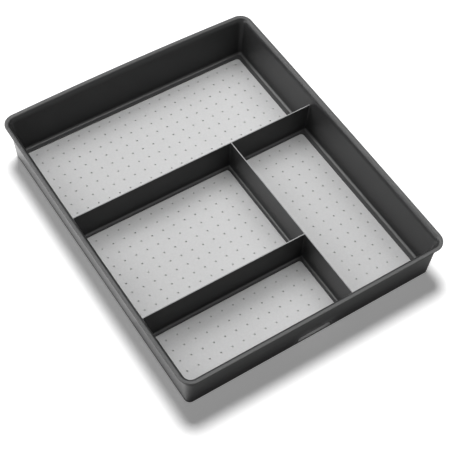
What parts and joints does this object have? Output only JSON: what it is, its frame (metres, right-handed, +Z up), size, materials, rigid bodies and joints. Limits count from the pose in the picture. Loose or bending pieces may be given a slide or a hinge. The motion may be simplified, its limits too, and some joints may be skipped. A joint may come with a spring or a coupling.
{
  "type": "drawer organizer insert",
  "caption": "Shallow rectangular drawer organizer tray with a flared rim, built-in dividers forming compartments, soft grip floor liners and non-slip rubber feet.",
  "frame": {"origin": "centre of the footprint over the rim, on the surface the feet stand on", "axes": "+X along the short front side from left to right, +Y from the front side to the back side, +Z up out of the open top"},
  "size_m": [0.3374, 0.4086, 0.0595],
  "materials": {
    "granite_grey_plastic": "fine matte moulded texture, dark granite grey",
    "light_grey_soft_liner": "matte soft-grip sheet, light grey, with a grid of small dimples",
    "black_foot_rubber": "matte black rubber"
  },
  "bodies": {
    "root": {"tray_body": "granite_grey_plastic", "liner_back": "light_grey_soft_liner", "liner_middle_left": "light_grey_soft_liner", "liner_front_left": "light_grey_soft_liner", "liner_right": "light_grey_soft_liner", "foot_front_left": "black_foot_rubber", "foot_front_right": "black_foot_rubber", "foot_back_left": "black_foot_rubber", "foot_back_right": "black_foot_rubber"}
  },
  "joints": []
}
